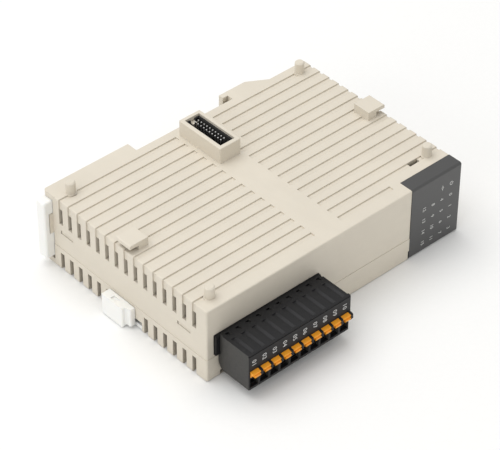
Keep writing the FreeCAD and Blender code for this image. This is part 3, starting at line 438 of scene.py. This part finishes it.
def arc_band(radius, width, start, end, steps=28):
    """Outline of part of a ring, angles in degrees."""
    angles = [math.radians(start + (end - start) * step / steps) for step in range(steps + 1)]
    outside, inside = radius + width / 2, radius - width / 2
    outer = [(outside * math.cos(angle), outside * math.sin(angle)) for angle in angles]
    inner = [(inside * math.cos(angle), inside * math.sin(angle)) for angle in angles]
    return outer + list(reversed(inner))


def bar(low_x, high_x, low_y, high_y):
    return [(low_x, low_y), (high_x, low_y), (high_x, high_y), (low_x, high_y)]


def print_mark(name, mesh, place, rotation, body):
    mesh.transform(rotation.to_4x4())
    mesh.transform(Matrix.Translation(place))
    add_mesh(name, mesh, body, WHITE_INK)


def light_places():
    """Centres of the indicator lights: columns from left to right, each from the bottom up."""
    low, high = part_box("status_leds")
    first_x = low.x + LED_WIDTH / 2
    first_z = low.z + LED_HEIGHT / 2
    pitch_x = (high.x - low.x - LED_WIDTH) / (LIGHT_COLUMNS - 1)
    pitch_z = (high.z - low.z - LED_HEIGHT) / (LIGHT_ROWS - 1)
    columns = []
    for column in range(LIGHT_COLUMNS):
        rows = LIGHT_ROWS if column >= FIRST_FULL_COLUMN else LIGHT_ROWS - 1
        x = first_x + column * pitch_x
        columns.append([(x, first_z + row * pitch_z) for row in range(rows)])
    return columns


def power_strokes():
    """A ring that is open at the top, with an upright bar in the gap."""
    ring = arc_band(0.58 * MM, 0.17 * MM, 125, 415)
    return [ring, bar(-0.09 * MM, 0.09 * MM, 0.1 * MM, 0.85 * MM)]


def link_strokes():
    """A ring with a bar out of each side."""
    return [
        arc_band(0.36 * MM, 0.16 * MM, 0, 359),
        bar(0.44 * MM, 0.95 * MM, -0.08 * MM, 0.08 * MM),
        bar(-0.95 * MM, -0.44 * MM, -0.08 * MM, 0.08 * MM),
    ]


def print_window_marks():
    """Numbers 0 to 15 in four columns, with a power mark and a link mark above two of them."""
    face = WINDOW_FACE - PRINT_LIFT
    turn = reading(Vector((0, 0, -1)), Vector((1, 0, 0)))
    symbols = [("power_mark", power_strokes()), ("link_mark", link_strokes())]
    number = 0
    for column in reversed(light_places()):
        rows = list(reversed(column))
        if len(rows) == LIGHT_ROWS:
            name, strokes = symbols.pop(0)
            x, z = rows.pop(0)
            print_mark(name, flat_strokes(strokes), Vector((x, face, z)), turn, "housing")
        for x, z in rows:
            name = f"indicator_number_{number}"
            mesh = lettering(str(number), 1.25 * MM)
            print_mark(name, mesh, Vector((x, face, z)), turn, "housing")
            number += 1


def print_terminal_marks():
    """Pole numbers on the plug's label strip."""
    strip_face = LABEL_FACE - PRINT_LIFT
    turn = reading(Vector((0, 0, -1)), Vector((1, 0, 0)))
    for number in range(POLE_COUNT):
        name = f"terminal_number_{number + 1}"
        mesh = lettering(f"{number + 1:02d}", 1.5 * MM, 1.1)
        place = Vector((pole_x(number), strip_face, LABEL_MIDDLE))
        print_mark(name, mesh, place, turn, "terminal_plug")


# ------------------------------------------------------------------ stage, light and camera


FLOOR_HALF = 2.5
FLOOR_GAP = 0.02 * MM
LIGHTS_AIM = Vector((0.0, -0.035, 0.0))
LIGHTS = {
    # name: place, width and height in metres, watts
    "overhead_softbox": ((-0.15, 0.25, 0.95), (1.1, 0.9), 6.5),
    "left_softbox": ((-1.0, -0.25, 0.45), (0.8, 0.6), 1.9),
    "front_fill": ((0.35, -1.0, 0.5), (0.9, 0.7), 0.6),
}
WORLD_COLOUR = (1.0, 0.995, 0.985, 1.0)
WORLD_STRENGTH = 0.6
SENSOR_WIDTH = 36.0
CAMERA_LENS = 172.06
CAMERA_PLACE = (-0.366115, -0.434612, 0.450078)
CAMERA_DEGREES = (50.04184, -0.2615, -41.94672)


def add_floor():
    level = RESTING_LEVEL - FLOOR_GAP
    half = FLOOR_HALF
    square = ((-half, -half), (half, -half), (half, half), (-half, half))
    corners = [(x, y, level) for x, y in square]
    mesh = bpy.data.meshes.new("studio_floor")
    mesh.from_pydata(corners, [], [(0, 1, 2, 3)])
    floor = bpy.data.objects.new("studio_floor", mesh)
    bpy.context.scene.collection.objects.link(floor)
    floor.data.materials.append(FLOOR)


def add_area(name, place, size, watts):
    lamp = bpy.data.lights.new(name, "AREA")
    lamp.shape = "RECTANGLE"
    lamp.size, lamp.size_y = size
    lamp.energy = watts
    holder = bpy.data.objects.new(name, lamp)
    bpy.context.scene.collection.objects.link(holder)
    holder.location = place
    holder.rotation_mode = "QUATERNION"
    holder.rotation_quaternion = (LIGHTS_AIM - Vector(place)).to_track_quat("-Z", "Y")


def add_lights():
    for name, (place, size, watts) in LIGHTS.items():
        add_area(name, place, size, watts)
    world = bpy.data.worlds.new("studio")
    bpy.context.scene.world = world
    world.use_nodes = True
    background = world.node_tree.nodes["Background"]
    background.inputs["Color"].default_value = WORLD_COLOUR
    background.inputs["Strength"].default_value = WORLD_STRENGTH


def add_camera():
    camera = bpy.data.cameras.new("camera")
    camera.sensor_width = SENSOR_WIDTH
    camera.lens = CAMERA_LENS
    camera.clip_start, camera.clip_end = 0.01, 20.0
    holder = bpy.data.objects.new("camera", camera)
    bpy.context.scene.collection.objects.link(holder)
    holder.location = CAMERA_PLACE
    holder.rotation_euler = Euler([math.radians(angle) for angle in CAMERA_DEGREES])
    bpy.context.scene.camera = holder


dress_cad_nodes()
print_window_marks()
print_terminal_marks()
add_floor()
add_lights()
add_camera()
bpy.context.scene.view_settings.view_transform = "Standard"
